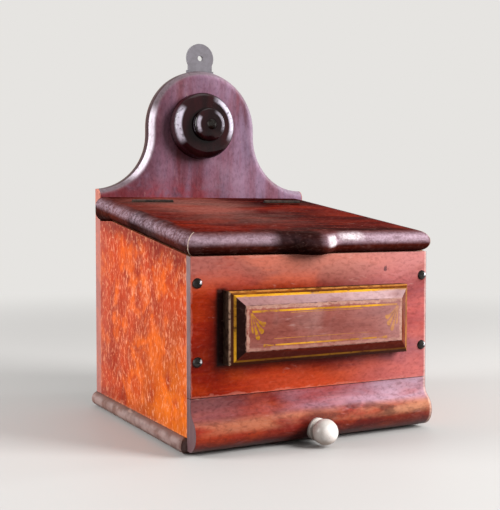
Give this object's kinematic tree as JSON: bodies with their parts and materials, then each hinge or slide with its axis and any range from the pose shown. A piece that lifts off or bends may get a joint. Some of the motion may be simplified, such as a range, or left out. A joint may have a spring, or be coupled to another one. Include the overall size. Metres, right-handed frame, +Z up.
{
  "type": "salt box with hinged lid",
  "caption": "Wooden salt box for wall or table: sloping hinged lid on a fixed rail, arched back board with turned boss and hanging plate, raised front block, small drawer below.",
  "frame": {"origin": "middle of the underside of the case", "axes": "+Z up, +Y to the wall behind the back board, +X to the right as seen from the front"},
  "size_m": [0.209, 0.2282, 0.3192],
  "materials": {
    "crest_wood": "polished mahogany, dark red",
    "side_wood": "polished mahogany, orange red",
    "front_wood": "polished mahogany, red",
    "lid_wood": "dark polished mahogany, worn",
    "inner_wood": "bare pale wood",
    "boss_wood": "black polish",
    "iron": "blackened",
    "plate_metal": "dull grey zinc",
    "brass": "dark aged brass",
    "bone": "turned bone, polished"
  },
  "bodies": {
    "case": {"backboard": "crest_wood", "left_side": "side_wood", "right_side": "side_wood", "front_board": "front_wood", "bottom_board": "lid_wood", "salt_floor": "inner_wood", "hinge_rail": "lid_wood", "name_block": "lid_wood", "name_block_screws": "iron", "front_board_screws": "iron", "back_nails": "iron", "base_nails": "iron", "rail_screws": "iron", "boss": "boss_wood", "boss_screw": "iron", "hanging_plate": "plate_metal", "hanging_plate_screws": "iron", "left_rail_leaf": "brass", "right_rail_leaf": "brass", "rail_leaf_screws": "brass", "left_hinge_pin": "brass", "right_hinge_pin": "brass"},
    "lid": {"lid_board": "lid_wood", "left_lid_leaf": "brass", "right_lid_leaf": "brass", "lid_leaf_screws": "brass"},
    "drawer": {"drawer_front": "front_wood", "drawer_left_side": "inner_wood", "drawer_right_side": "inner_wood", "drawer_back": "inner_wood", "drawer_bottom": "inner_wood", "drawer_nails": "iron", "drawer_knob": "bone", "knob_stud": "iron"}
  },
  "joints": [
    {"name": "lid_hinge", "type": "hinge", "parent": "case", "child": "lid", "pos_m": [0, 0.05666, 0.17614], "axis": [-1, 0, 0], "range_deg": [0, 100.7]},
    {"name": "drawer_slide", "type": "slide", "parent": "case", "child": "drawer", "axis": [0, -1, 0], "range_m": [0, 0.15]}
  ]
}
